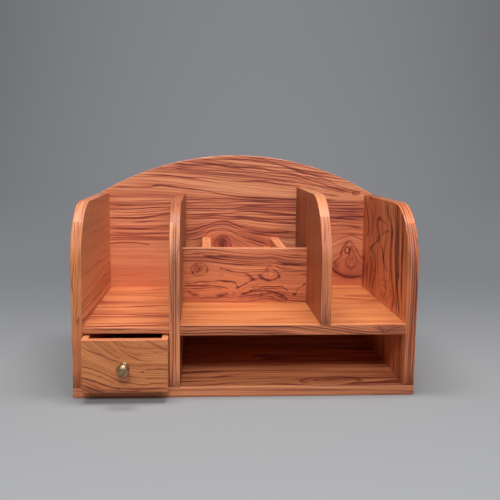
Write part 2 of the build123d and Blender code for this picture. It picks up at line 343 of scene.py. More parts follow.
def woodMaterial(name, figures):
    # figures holds one for the faces that look along X, one for Y and one for Z.
    material = bpy.data.materials.new(name)
    material.use_nodes = True
    tree = material.node_tree
    shader = tree.nodes["Principled BSDF"]
    coordinates = tree.nodes.new("ShaderNodeTexCoord")
    position = modelSpot(tree, coordinates)
    normal = {0: coordinates.outputs["Normal"]}
    turned = addNode(tree, "ShaderNodeVectorMath", normal, operation="ABSOLUTE")
    facing = tree.nodes.new("ShaderNodeSeparateXYZ")
    tree.links.new(turned, facing.inputs[0])
    shades, threads = [], []
    for look in figures:
        spot = grainSpot(tree, position, look["order"])
        dark = nest(
            tree, {"Spot": ("NodeSocketVector", spot)},
            lambda group, source, look=look: darkness(group, source[0], look),
        )
        *fibreSizes, fibreDark = rosewood["fibre"]
        *blotchSizes, blotchDark = rosewood["blotch"]
        fibre = noise(tree, spot, tuple(fibreSizes), look["seed"] + 11, 3.0, 0.7)
        blotch = noise(tree, spot, tuple(blotchSizes), look["seed"] + 13, 1.0)
        swings = [
            remap(tree, fibre, *usualSpread, -fibreDark / 2, fibreDark / 2),
            remap(tree, blotch, *usualSpread, -blotchDark / 2, blotchDark / 2),
        ]
        dark = addUp(tree, swings, dark)
        colours = {key: look.get(key, rosewood[key]) for key in rosewood["stops"]}
        stops = [(place, paint(*colours[key])) for key, place in rosewood["stops"].items()]
        shades.append(ramp(tree, dark, stops))
        threads.append(fibre)
    colour, thread = shades[0], threads[0]
    for axis in (1, 2):
        mask = calc(tree, "GREATER_THAN", facing.outputs[axis], leaning)
        colour = blend(tree, mask, colour, shades[axis])
        there = calc(tree, "MULTIPLY", threads[axis], mask)
        elsewhere = calc(tree, "MULTIPLY", thread, calc(tree, "SUBTRACT", 1.0, mask))
        thread = calc(tree, "ADD", there, elsewhere)
    tree.links.new(colour, shader.inputs["Base Color"])
    rougher = [rosewood["roughness"] + swing for swing in rosewood["roughSwing"]]
    tree.links.new(remap(tree, thread, *usualSpread, *rougher), shader.inputs["Roughness"])
    bump = addNode(tree, "ShaderNodeBump", dict(rosewood["bump"], Height=thread))
    tree.links.new(bump, shader.inputs["Normal"])
    shader.inputs["Specular IOR Level"].default_value = rosewood["shine"]
    return material


# Figures of the boards. Places are (along, across) in millimetres in the model's frame, and the
# ring height is the place across the board, bent by what follows. A figure may also hold bands
# and gains, points of (ring height, level) for darkness and for the strength of the rings, and
# deep, how far under the face its knots and drawn marks reach.
usualFigure = {
    "base": 0.3,  # darkness of the plain wood
    "rings": (260, 4.5, 0.45, 0.25),  # length, gap, darkness and fine darkness of the growth rings
    "face": 0.0,  # place of the board's face, measured through the board
    "lean": 0.35,  # how the rings climb through the board
    "slope": 0.0,  # how they climb along it
    "waver": ((90, 16, 60, 3.0), (22, 5, 30, 0.9)),  # lump sizes and shift of waves in the rings
    "hills": (),  # (along, across, two radii, turn, height): knots that bend the rings
    "drifts": (),  # (curve along the board, start, end): rings sink by the curve past a height
    "calm": (),  # (along, across, two radii, turn, share): places where the rings fade
    "lines": (),  # (ring height, fade below, fade above, darkness)
    "smudges": (),  # (along, across, two radii, turn, darkness): dark marks, or pale ones where the darkness is below 0; some are painted light or painted shade
    "loops": (),  # (along, across, two radii, turn, width, darkness): oval outlines
    "veins": (),  # (points, width, darkness), and True where it runs across the board
    "shake": ((30, 12, 0.9), (9, 4, 0.35)),  # (length, width, shift) of the tremble of such marks
    "beads": (24, 8, 30),  # lump sizes of their swelling
    "swell": (0.68, 1.2),  # how thin and how thick it makes them
}


def plain(order, seed, **more):
    return dict(usualFigure, order=order, seed=seed, **more)


def edgeLook(order, seed, **more):
    settings = dict(
        rings=(160, 2.4, 0.55, 0.4), lean=0.0, base=0.42, waver=((60, 16, 60, 1.6), (18, 5, 30, 0.5)),
        pale=(236, 156, 106), warm=(212, 130, 86), brown=(172, 98, 66), dark=(122, 66, 50),
    )
    settings.update(more)
    return plain(order, seed, **settings)


# Back panel
backFace = plain(
    "xz", 1.0, face=92.5, base=0.0, rings=(360, 3.8, 0.5, 0.42),
    waver=((110, 26, 60, 1.6), (34, 7, 30, 0.8)),
    pale=(255, 180, 132), warm=(226, 138, 98), brown=(188, 102, 76), dark=(124, 58, 49),
    shake=((70, 14, 0.8), (22, 5, 0.25)), beads=(50, 9, 30),
    bands=[
        (60, -0.1), (66, 0.3), (90, 0.26), (112, 0.17), (119, 0.24), (124, 0.35), (133, 0.4), (139, 0.38),
        (143, 0.26), (149, 0.3), (153, 0.46), (158, 0.42), (163, 0.38), (171, 0.44), (175, 0.4),
        (187, 0.48), (190, 0.2), (202, 0.18), (205, 0.36), (214, 0.46), (224, 0.56), (250, 0.5),
    ],
    gains=[
        (60, 0.2), (112, 0.25), (122, 0.9), (140, 1.0), (143, 0.7), (149, 0.7), (152, 1.1), (172, 1.2),
        (178, 0.7), (187, 0.6), (190, 0.5), (201, 0.5), (206, 1.0), (216, 1.4), (240, 1.6),
    ],
    drifts=[
        ([(-135, 0), (-90, 1), (-60, 3.5), (0, 10), (70, 15.5), (100, 20), (130, 25),
          (165, 28)], 168, 181),
    ],
    hills=[
        (-20, 126, 30, 20, 0, -16.0), (-20, 120, 9, 9, 0, -14.0), (75, 118, 45, 22, 0, 8.5),
        (138, 108, 24, 26, 0, -14.0), (-88, 160, 26, 16, 0, -2.5),
    ],
    smudges=[
        (2, 153.6, 9, 1.6, 0, 0.35), (-29, 163, 3, 0.8, 0, -0.3), (-18, 121, 4.5, 7, 0, 0.45),
        (-18, 123, 24, 11, 0, 0.34), (20, 125, 24, 9, 0, 0.24), (-45, 126, 12, 8, 0, 0.15),
        (45, 135.5, 28, 2.4, 0, 0.2), (135, 160, 26, 16, 0, 0.16), (134, 113, 1.5, 2, 0, -0.3),
        (120.5, 94, 4.5, 7, 0, 0.4), (136, 98, 24, 28, 0, 0.24), (142, 183.5, 4, 1.6, 10, 0.2),
        (-97, 190.6, 3.5, 1, 0, 0.3), (137.5, 113, 1.2, 7, -6, 0.25), (140.5, 108, 0.8, 5, 0, 0.2),
        (133, 124, 6, 3, 0, 0.2), (136, 83, 14, 3, 0, 0.25), (150, 95, 5, 10, 0, 0.14),
        (-25, 127, 16, 1.2, 12, 0.16), (-4, 127, 9, 1.0, -30, 0.2), (-18, 131, 9, 1.2, 0, 0.16),
    ],
    loops=[
        (-18, 119, 9.5, 12, 0, 0.12, 0.26), (-18.5, 119.5, 5.6, 7.6, 0, 0.16, 0.22),
        (133.6, 114.3, 2.9, 3.8, 0, 0.26, 0.75), (139.6, 97, 3.2, 6.5, 0, 0.3, 0.2),
        (142, 183.5, 4, 2, 10, 0.25, 0.35),
    ],
    calm=[(138, 105, 18, 24, 0, 0.5)],
    veins=[
        ([(-153, 189.5), (-105, 189), (-97, 190.6), (-90, 190.6), (-75, 188.5), (-60, 187), (-45, 185.5),
          (-30, 183), (-20, 181), (0, 178.5), (20, 177), (45, 176.2), (70, 175.5),
          (120, 175)], 1.0, 0.7),
        ([(-153, 171.7), (-120, 172), (-83, 173.5), (-62, 173.5), (-20, 176), (0, 175), (30, 173.5),
          (70, 174.5), (115, 172), (153, 172)], 0.6, 0.42),
        ([(-153, 167.3), (-125, 167), (-110, 167.5), (-83, 169.3), (-62, 170), (-40, 171.5), (-20, 171),
          (10, 172.3), (40, 171), (70, 171), (115, 168.5), (153, 168.5)], 0.9, 0.6),
        ([(-153, 163.5), (-125, 162.7), (-100, 164.5), (-83, 165.3), (-62, 167), (-15, 168), (20, 168),
          (70, 168.3), (115, 164.8), (153, 163)], 0.6, 0.42),
        ([(-153, 158.7), (-120, 158.5), (-100, 160), (-83, 162), (-62, 163.5), (-35, 164), (-10, 163.3),
          (10, 166), (40, 165), (70, 165.3), (115, 161.5), (153, 160.5)], 0.8, 0.52),
        ([(-153, 155), (-125, 155.5), (-83, 158), (-62, 160.5), (-40, 161), (-20, 160.5), (-8, 159.3),
          (0, 161.5), (10, 163.3), (30, 163), (70, 162.5), (115, 158.5), (153, 158)], 0.7, 0.48),
        ([(-153, 152.5), (-125, 152), (-113, 152.5), (-100, 154.5), (-83, 156.5), (-62, 156.5),
          (-40, 157), (-5, 158.5), (5, 160), (20, 160.3), (40, 159), (55, 158), (70, 156), (115, 153.8),
          (153, 150.5)], 0.9, 0.75),
        ([(-130, 146.7), (-110, 148), (-83, 150), (-62, 153), (-45, 154), (-25, 155.5), (-8, 153.8),
          (0, 154.7), (10, 153.6), (40, 150.5), (70, 147), (115, 148.7), (153, 147)], 0.7, 0.6),
        ([(-62, 151), (-45, 151.5), (-30, 152.3), (-10, 151), (8, 151.5), (20, 150), (45, 147.5),
          (70, 145.3), (115, 144.2), (130, 144.6), (153, 140.8)], 0.9, 0.65),
        ([(-153, 140), (-120, 139.5), (-100, 140.5), (-83, 141.5), (-62, 137), (-50, 139), (-45, 141),
          (-30, 146), (-18, 148.3), (-8, 146.3), (0, 143), (12, 139), (25, 136.5), (45, 134.7),
          (72, 137)], 0.9, 0.7),
        ([(-153, 134), (-115, 133), (-83, 134.3), (-62, 133), (-50, 135), (-40, 139), (-30, 142.7),
          (-18, 144.6), (-8, 142.5), (3, 138), (15, 135), (30, 132.5), (45, 131), (70, 129.5), (115, 133),
          (135, 135), (153, 131.5)], 1.1, 0.5),
        ([(-153, 128.5), (-125, 128), (-83, 127), (-62, 126), (-45, 128), (-38, 133), (-30, 138),
          (-22, 140.3), (-15, 139.8), (-8, 136.5), (0, 132), (8, 129), (20, 125.5), (33, 121.5),
          (45, 118)], 0.6, 0.6),
        ([(-153, 121.3), (-140, 122.5), (-125, 122.5), (-115, 121.5), (-105, 120)], 0.7, 0.55),
        ([(5, 129.8), (15, 126.2), (28, 122), (38, 118.5)], 0.5, 0.5),
        ([(10, 124.5), (22, 121), (32, 118)], 0.6, 0.55),
        ([(-118, 203.5), (-80, 202.5), (-60, 200.5), (-40, 200), (-20, 197.5), (5, 196), (25, 197),
          (45, 194), (70, 191), (90, 184.5), (125, 180)], 0.8, 0.6),
        ([(-83, 213), (-72, 211), (-60, 209.5), (-20, 208.5), (20, 206.5), (40, 204), (70, 200),
          (100, 190), (130, 184)], 0.7, 0.5),
        ([(-75, 217), (-60, 215.5), (-10, 216), (0, 213.5), (20, 213), (35, 210), (70, 203.5), (105, 193),
          (135, 184)], 1.3, 0.55),
        ([(-45, 222), (0, 222), (20, 220.5), (70, 211), (110, 197), (148, 183)], 1.0, 0.5),
        ([(-100, 207), (-60, 205.5), (-20, 204), (20, 202), (45, 199), (70, 196), (100, 187)], 0.5, 0.35),
        ([(10, 225), (40, 219), (75, 207), (115, 192), (148, 181)], 0.6, 0.45),
        ([(30, 201), (70, 194), (95, 186)], 0.5, 0.4),
        ([(115, 123.5), (120, 126), (125, 128.5), (132, 131), (138, 132.5), (145, 130),
          (153, 126)], 0.8, 0.55),
        ([(97, 117.5), (101, 120), (104, 124), (107, 126.5), (110, 125.8), (113, 127), (119, 130),
          (126, 135)], 1.2, 0.65, True),
        ([(101, 154), (109, 148), (113, 145.6), (117, 143.5), (127, 136.5)], 0.9, 0.5, True),
        ([(91, 139), (92.5, 135.5), (96, 133), (101, 133), (107, 135.5), (113, 137),
          (120, 138.5)], 1.0, 0.36, True),
        ([(91, 139), (92.5, 143), (96, 145.8), (101, 146), (107, 143.5), (113, 141.5),
          (120, 139.5)], 1.0, 0.36, True),
        ([(114, 93), (118, 89), (122, 86), (130, 82), (140, 80.5), (154, 82)], 1.7, 0.55),
    ],
)
# The arch's top edge is dark, base 0.8: painted shade against the top light that falls on it.
archEdge = edgeLook("xy", 2.0, base=0.8)

# Pocket front
pocketFace = plain(
    "xz", 5.0, face=-4.0, base=0.06, rings=(200, 2.5, 0.75, 0.55),
    waver=((90, 20, 60, 1.2), (24, 7, 30, 0.6)), shake=((13, 9, 2.0), (4.5, 3.5, 0.6)), beads=(9, 9, 30),
    bands=[
        (60, 0.5), (75, 0.46), (81, 0.34), (98, 0.26), (106, 0.34), (112, 0.46), (118, 0.56), (124, 0.42),
        (132, 0.34),
    ],
    gains=[(60, 0.8), (77, 0.8), (84, 0.6), (100, 0.5), (108, 0.8), (112, 1.0), (132, 1.2)],
    pale=(240, 157, 110), warm=(222, 137, 92), brown=(184, 100, 74), dark=(116, 55, 46),
    drifts=[
        ([(-70, 0), (-45, -1.5), (-20, 1.5), (15, 5.5), (32, 3), (45, 7), (75, 10)], 88, 108),
    ],
    hills=[
        (4, 92, 14, 9, -20, 4.0), (-30, 98, 16, 8, 0, -3.0), (25, 74, 24, 10, 0, -7.0),
        (-48, 79, 9, 5, 0, 2.0), (-20, 79, 8, 5, 0, -2.0),
    ],
    lines=[
        (114.8, 1.0, 0.6, 0.3), (116.6, 0.7, 0.8, -0.3), (119, 1.0, 0.5, 0.5), (121.5, 0.8, 0.6, 0.4),
        (124, 1.2, 0.5, 0.45), (127.4, 1.0, 0.5, 0.35),
    ],
    smudges=[
        (-50, 79.4, 4.5, 1.7, -10, 0.6), (-55, 81.8, 2.5, 1.0, -20, 0.4), (-22, 77.8, 4.5, 1.7, 8, 0.65),
        (-16, 80, 3.0, 1.2, 0, 0.35), (-36, 75, 9, 0.8, 0, 0.3), (-8, 80, 2.5, 2, 0, 0.2),
        (11, 97, 6.5, 2.4, -12, 0.45), (20.5, 98.4, 3.2, 2.0, -35, 0.5), (24, 96, 4, 1.3, -20, 0.4),
        (39.5, 99, 1.6, 3.2, 0, 0.55), (-45.5, 106.8, 2.4, 2.2, 0, 0.42), (28.3, 106, 1.4, 1.8, 0, 0.5),
        (31.5, 102, 3.5, 4, 0, -0.14), (57.5, 79.2, 2.0, 1.5, 0, 0.5), (-4.5, 86.6, 1.6, 1.3, 0, 0.5),
        (-57, 99, 8, 9, 0, 0.1), (-22, 101, 3, 3, 0, 0.18), (-52.5, 102.5, 1.6, 1.4, 0, 0.35),
        (-37.8, 105.5, 1.0, 2.0, 0, 0.35), (-46, 105.5, 8, 7, 0, 0.08), (8, 112.5, 16, 1.6, -2, 0.2),
        (60, 110, 16, 5, 0, -0.34),
    ],
    loops=[
        (-45.5, 106, 8.4, 7.4, 0, 0.1, 0.32), (-46.5, 107.4, 4.6, 3.6, 20, 0.16, 0.22),
        (-48.5, 107, 1.4, 4.2, 8, 0.34, 0.24), (-43.5, 105, 3.5, 5.2, -14, 0.14, 0.16),
        (31.5, 101.2, 3.4, 3.0, 0, 0.16, 0.22),
    ],
    calm=[(-46, 105, 12, 10, 0, 0.6), (30, 102, 10, 9, 0, 0.6), (-12, 98, 26, 5, 0, 0.4)],
    veins=[
        ([(-24, 108.3), (-18, 106), (-13, 104), (-5, 102.5), (3, 101.6), (7, 100.4), (10, 98),
          (14.5, 95)], 0.84, 0.68),
        ([(-5.5, 86), (-2, 87.5), (2, 90), (8, 93), (14, 96)], 0.78, 0.73),
        ([(-62, 91), (-50, 91.4), (-38, 93), (-28, 94.2), (-20, 93.5), (-15, 93)], 0.72, 0.6),
        ([(-22, 93.7), (-15, 93), (-9, 92), (-6.5, 90.5), (-5, 86.5)], 0.9, 0.8),
        ([(-62, 88), (-40, 88.7), (-25, 88), (-18, 87), (-13.5, 85)], 0.84, 0.75),
        ([(-55, 85.6), (-45, 85.8), (-30, 86.5), (-20, 85)], 0.6, 0.38),
        ([(10, 86.4), (20, 87.7), (35, 88), (45, 86.5), (50, 83), (52, 79)], 0.84, 0.68),
        ([(-2, 78.8), (5, 80.5), (12, 82.5), (20, 83.6), (28, 83.4), (35, 82), (42, 79.5), (47, 77),
          (51, 72)], 1, 0.73),
        ([(12, 85), (24, 85.6), (36, 84.8), (45, 82), (50, 78)], 0.66, 0.43),
        ([(20, 79.8), (30, 80.2), (38, 78.5), (46, 74.5), (49, 71)], 0.84, 0.53),
        ([(-4, 76.4), (10, 78), (25, 77.6), (36, 75.5), (46, 71.5)], 0.72, 0.43),
        ([(56, 78.5), (59.5, 80.5), (61.5, 85), (66, 88.6), (70, 90.5)], 0.96, 0.68),
        ([(18.5, 99.5), (22, 101), (24.5, 103), (26, 107), (29, 110), (31.5, 111.4)], 0.84, 0.48),
        ([(31, 111.3), (34, 107), (38, 104), (40.6, 100)], 0.84, 0.58),
        ([(19, 97.5), (23, 95.8), (28, 94.7), (33, 94.5), (37.5, 95.8), (41, 98)], 0.96, 0.68),
        ([(36, 111), (40, 108.4), (48, 106), (58, 105), (72, 103.6)], 0.7, 0.6),
        ([(42, 109.5), (50, 108.2), (60, 107.5), (72, 107)], 0.5, 0.35),
        ([(-4, 83), (4, 86), (10, 89), (18, 90.5)], 0.5, 0.3),
        ([(-4, 74), (10, 75.8), (25, 75.4), (36, 73.4), (42, 71)], 0.6, 0.35),
        ([(14, 82), (26, 82.2), (36, 80.4), (45, 76.5), (50, 72)], 0.5, 0.4),
    ],
)

# Left side
leftFace = plain(
    "yz", 7.0, face=-152.5, base=0.38, rings=(380, 5.0, 0.12, 0.14), waver=((160, 30, 60, 2.5),),
    pale=(238, 160, 113), warm=(222, 148, 102), brown=(189, 109, 77), dark=(138, 74, 57),
    lines=[(94, 2.5, 1.5, 0.25), (80, 1.2, 0.8, 0.25), (72, 1.5, 0.8, 0.35)],
    slope=0.02,
    bands=[(60, 0.2), (92, 0.16), (98, 0.0), (190, 0.0)],
    gains=[(60, 4.0), (92, 4.0), (100, 1.5), (190, 1.2)],
)
leftFront = edgeLook(
    "zx", 8.0, waver=((46, 16, 60, 2.6), (16, 6, 30, 0.9)),
    drifts=[
        ([(10, 16), (60, 8), (110, 1), (125, 0), (190, 0)], -170, -148),
    ],
    base=0.34, rings=(90, 3.4, 0.5, 0.4),
    pale=(228, 148, 92), warm=(210, 124, 76), brown=(166, 90, 55), dark=(116, 58, 41),
)
leftTop = edgeLook(
    "yx", 9.0,
    pale=(246, 166, 114), warm=(226, 140, 96), brown=(176, 94, 74), dark=(128, 66, 62),
)

# Right side. On the uprights the grain runs up, so along is height and across is depth.
rightFace = plain(
    "zy", 10.0, face=152.5, deep=8.0, base=0.27, rings=(200, 11.0, 0.4, 0.5), slope=-0.05,
    waver=((60, 24, 60, 4.0), (22, 9, 30, 1.4)), shake=((16, 16, 1.2), (6, 6, 0.4)), beads=(30, 12, 30),
    pale=(234, 150, 100), warm=(206, 119, 78), brown=(159, 84, 58), dark=(85, 41, 33),
    hills=[(150, -6, 12, 24, 0, 9.0), (120, 10, 16, 20, 0, -9.0), (87, -14, 9, 18, 0, 9.0)],
    smudges=[
        (106, 86, 3, 7, 0, 0.5), (91, 83, 13, 6, 0, 0.45), (180, 56, 3, 9, 0, 0.45),
        (160, 15, 2.2, 7, 0, 0.5), (138, 14, 4, 9, 0, 0.4), (121, 49, 2.6, 6, 0, 0.4),
        (128, -60, 50, 8, 0, 0.28), (150, 80, 34, 16, 0, 0.2), (152, 0, 8, 14, 0, 0.1),
        (90, -21, 2.5, 5, 0, 0.3), (80, -15, 3, 5, 0, 0.28), (150, -40, 5, 5, 0, 0.25),
        # Painted light: the next smudge lightens the face below the thick shelf, inside the pigeonhole.
        (34, -20, 26, 110, 0, -0.36),
    ],
    loops=[(87, -16, 5, 12, 0, 0.22, 0.28), (87, -17, 9.5, 23, 0, 0.13, 0.25)],
    veins=[
        ([(133, 71), (139, 66), (149, 65), (157, 69), (164, 75), (172, 82), (179, 85)], 3.6, 0.55),
        ([(137, 48), (146, 47), (155, 46), (164, 50), (169, 61), (173, 77)], 2.6, 0.5),
        ([(136, 18), (141, 12), (146, 17), (151, 22), (157, 21), (160, 19)], 3.6, 0.65),
        ([(-14, 158), (-1, 159), (12, 161), (19, 160)], 0.9, 0.6, True),
        ([(-31, 152), (-19, 149), (-7, 147), (1, 144)], 1.1, 0.5, True),
        ([(121, 51), (125, 42), (131, 31), (136, 18)], 3.4, 0.65),
        ([(96, 25), (103, 24), (109, 25), (113, 29), (118, 31), (120, 39), (121, 51)], 2.8, 0.65),
        ([(107, -26), (112, -17), (118, -9), (124, -6), (129, -1), (133, 8), (135, 17)], 2.6, 0.65),
        ([(72, -47), (78, -54), (86, -56), (93, -52), (102, -46), (112, -41), (122, -38), (132, -36),
          (143, -38), (149, -40), (157, -37), (164, -27), (170, -20), (182, -14)], 3.4, 0.6),
        ([(73, -77), (87, -71), (97, -66), (113, -61), (126, -57), (143, -54), (156, -54), (166, -51),
          (183, -48)], 3.2, 0.6),
        ([(107, -70), (124, -66), (140, -64), (161, -62), (171, -60), (182, -56)], 2.8, 0.55),
        ([(72, -90), (89, -85), (109, -82), (128, -81), (148, -79), (160, -78), (174, -75)], 2.6, 0.5),
        ([(73, -97), (101, -92), (130, -90), (149, -88), (160, -86), (170, -84)], 2.2, 0.4),
        ([(75, 52), (85, 50), (94, 47), (101, 43), (108, 46), (113, 52)], 2.8, 0.5),
        ([(78, 35), (87, 31), (96, 25)], 2.6, 0.4),
        ([(74, 66), (84, 68), (95, 65), (104, 62)], 2.6, 0.35),
        ([(95, -23), (98, -29), (104, -38)], 2.2, 0.3),
        ([(82, -65), (95, -59), (114, -52), (128, -47), (144, -47), (159, -44), (171, -37),
          (181, -33)], 2.8, -0.42),
        ([(80, -80), (98, -76), (128, -74), (152, -71)], 2.4, -0.3),
        ([(140, 36), (150, 33), (165, 28)], 3.0, -0.2),
        ([(8, -86), (30, -84), (64, -86)], 3.0, 0.5),
        ([(8, -66), (35, -64), (64, -67)], 3.4, 0.46),
        ([(8, -44), (30, -46), (64, -43)], 3.4, 0.5),
        ([(8, -20), (40, -23), (64, -20)], 4.0, 0.42),
        ([(8, 8), (34, 10), (64, 6)], 4.5, 0.4),
    ],
)
rightFront = edgeLook(
    "zx", 11.0, base=0.34, rings=(240, 2.6, 0.4, 0.4), waver=((70, 16, 60, 0.7), (24, 6, 30, 0.25)),
    # Painted light: this smudge lightens the foot of the edge.
    smudges=[(15, 157.5, 60, 30, 0, -0.04)],
    pale=(228, 138, 88), warm=(194, 106, 68), brown=(136, 68, 52), dark=(90, 42, 40),
    lines=[
        (154.5, 0.8, 0.3, 0.5), (156.3, 0.7, 0.3, 0.55), (158.4, 0.9, 0.3, 0.6), (160.5, 0.7, 0.3, 0.5),
    ],
)
rightTop = edgeLook(
    "yx", 12.0, base=0.2, rings=(200, 2.6, 0.6, 0.3), waver=((60, 16, 60, 0.7), (18, 5, 30, 0.3)),
    pale=(236, 140, 82), warm=(208, 110, 62), brown=(148, 70, 52), dark=(94, 44, 46),
    lines=[(154.2, 0.8, 0.3, 0.6), (156.6, 0.7, 0.3, 0.7), (159.4, 0.9, 0.3, 0.6)],
)

# Tall divider
tallFace = plain(
    "zy", 13.0, face=-62.5, base=0.42, rings=(380, 6.0, 0.2, 0.16),
    pale=(190, 124, 86), warm=(172, 110, 74), brown=(138, 80, 56), dark=(100, 54, 42),
)
tallFront = edgeLook(
    "zx", 14.0, base=0.24, rings=(200, 2.8, 0.7, 0.4), waver=((70, 16, 60, 0.9), (24, 6, 30, 0.35)),
    # Painted light and shade: the first smudge lightens the foot of the edge, where the drawer front
    # shades it, and the second darkens its top under the top light.
    smudges=[(20, -67.5, 60, 30, 0, -0.2), (140, -67.5, 40, 30, 0, 0.14)],
    pale=(236, 156, 106), warm=(210, 130, 88), brown=(158, 90, 70), dark=(112, 58, 54),
    lines=[(-69.4, 1.0, 0.7, 0.3), (-66.2, 0.9, 0.5, 0.4)],
)
tallTop = edgeLook(
    "yx", 15.0, base=0.36, rings=(200, 3.0, 0.5, 0.3),
    pale=(208, 122, 78), warm=(182, 98, 62), brown=(144, 72, 52),
)

# Short divider
shortFace = plain(
    "zy", 16.0, face=70.0, base=0.4, rings=(420, 8.0, 0.26, 0.14),
    pale=(194, 119, 77), warm=(174, 100, 63), brown=(138, 73, 48), dark=(96, 47, 35),
    bands=[
        (-105, 0.0), (0, 0.04), (8, 0.2), (18, 0.22), (24, 0.1), (30, 0.2), (38, 0.05), (48, 0.12),
        (62, 0.2), (95, 0.25),
    ],
)
shortFront = edgeLook(
    "zx", 17.0, base=0.4, rings=(180, 2.8, 0.7, 0.35), waver=((60, 16, 60, 1.2), (18, 5, 30, 0.5)),
    pale=(226, 140, 94), warm=(200, 114, 78), brown=(156, 84, 62), dark=(108, 54, 48),
    lines=[(73.0, 0.7, 0.5, 0.25)],
)
shortTop = edgeLook(
    "yx", 18.0, base=0.16, rings=(200, 3.0, 0.35, 0.3),
    pale=(228, 150, 102), warm=(210, 128, 84), brown=(170, 96, 68),
)

# Thin shelf
thinFront = edgeLook(
    "xz", 20.0, base=0.44, rings=(60, 2.2, 0.9, 0.4), waver=((26, 12, 60, 3.0), (9, 5, 30, 0.8)),
    pale=(228, 146, 96), warm=(204, 119, 77), brown=(160, 86, 60), dark=(106, 52, 45),
)
thinTop = plain(
    "xy", 21.0, face=68.0, base=0.34, rings=(240, 12.0, 1.3, 0.6),
    pale=(228, 142, 91), warm=(205, 115, 71), brown=(180, 90, 60), dark=(138, 64, 48),
    gains=[(-102, 1.2), (-10, 1.2), (20, 0.5), (92, 0.5)],
    lines=[
        (-86, 1, 1, 0.3), (-71, 1.4, 1, 0.35), (-56, 3, 2, 0.4), (-46, 2, 2, 0.3), (7, 2, 1.5, 0.25),
        (18, 2, 1, 0.25),
    ],
)

# Thick shelf
thickFront = edgeLook(
    "xz", 23.0, base=0.36, rings=(160, 3.2, 0.5, 0.4), waver=((60, 16, 60, 0.5), (18, 5, 30, 0.25)),
    pale=(226, 140, 92), warm=(198, 114, 74), brown=(156, 82, 56), dark=(100, 50, 42),
    drifts=[
        ([(-62, 0), (-30, -1.2), (0, -0.6), (40, 0.5), (60, 3), (90, 8), (115, 11.5), (152, 13)], 50, 51),
    ],
    lines=[
        (69, 0.9, 0.5, 0.6), (64.6, 0.7, 0.5, 0.45), (62, 0.7, 0.4, 0.45), (71.6, 0.7, 0.4, 0.65),
        (74, 0.6, 0.4, 0.5), (76.6, 0.6, 0.4, 0.6),
    ],
    calm=[(140, 65, 16, 12, 0, 0.7)],
    smudges=[(140, 66, 14, 8, 0, 0.16), (140, 69.6, 1.8, 1.0, 0, 0.5)],
    veins=[
        ([(-62, 68.4), (-20, 68.9), (20, 68.5), (60, 69.2)], 0.6, 0.5),
        ([(-62, 64), (-25, 65.6), (10, 64.4), (45, 63.4)], 0.6, 0.4),
        ([(-62, 61.6), (-20, 62.6), (30, 61.6)], 0.5, 0.35),
        ([(124, 70), (128, 66), (132, 60.5)], 0.6, 0.6),
        ([(132, 62), (140, 66), (147, 67.5), (153, 70)], 0.5, 0.3),
    ],
)
thickTop = plain(
    "xy", 24.0, face=70.0, base=0.24, rings=(300, 13.0, 0.5, 0.5),
    pale=(229, 145, 88), warm=(206, 119, 68), brown=(180, 90, 60), dark=(138, 64, 48),
    lines=[(-57, 0.8, 0.8, -0.12), (-75, 0.7, 0.7, 0.2), (-80, 0.7, 0.7, 0.16), (-93, 0.8, 0.8, 0.25)],
    smudges=[(134, -13, 9, 1.8, 0, 0.5), (118, -14, 10, 1.2, 0, 0.25), (112, 60, 40, 30, 0, 0.1)],
    calm=[(0, 0, 66, 200, 0, 0.6)],
)

# Base board
baseFront = edgeLook(
    "xz", 26.0, rings=(300, 2.6, 0.45, 0.3), waver=((60, 16, 60, 0.4), (18, 5, 30, 0.2)),
    lines=[(7.4, 1.3, 0.8, 0.3), (3.9, 0.8, 0.6, -0.35), (1.6, 0.8, 0.5, 0.35)],
)
baseTop = plain(
    "xy", 27.0, face=10.0, base=0.4, rings=(240, 12.0, 0.8, 0.5),
    lines=[(-57, 3, 2, 0.35), (-73, 3, 2, 0.4), (-48, 3, 2, -0.2), (-65, 2, 2, -0.15)],
    loops=[(84, -88, 30, 11, 0, 0.06, 0.5), (86, -87, 17, 5.5, 0, 0.14, 0.36)],
    shake=((18, 14, 4.0), (6, 5, 2.0)), beads=(8, 8, 30),
    smudges=[(86, -86, 14, 3, 0, 0.5), (58, -88, 6, 4, 0, 0.3), (110, -88, 5, 4, 0, 0.3)],
    calm=[(84, -88, 34, 12, 0, 0.6)],
)

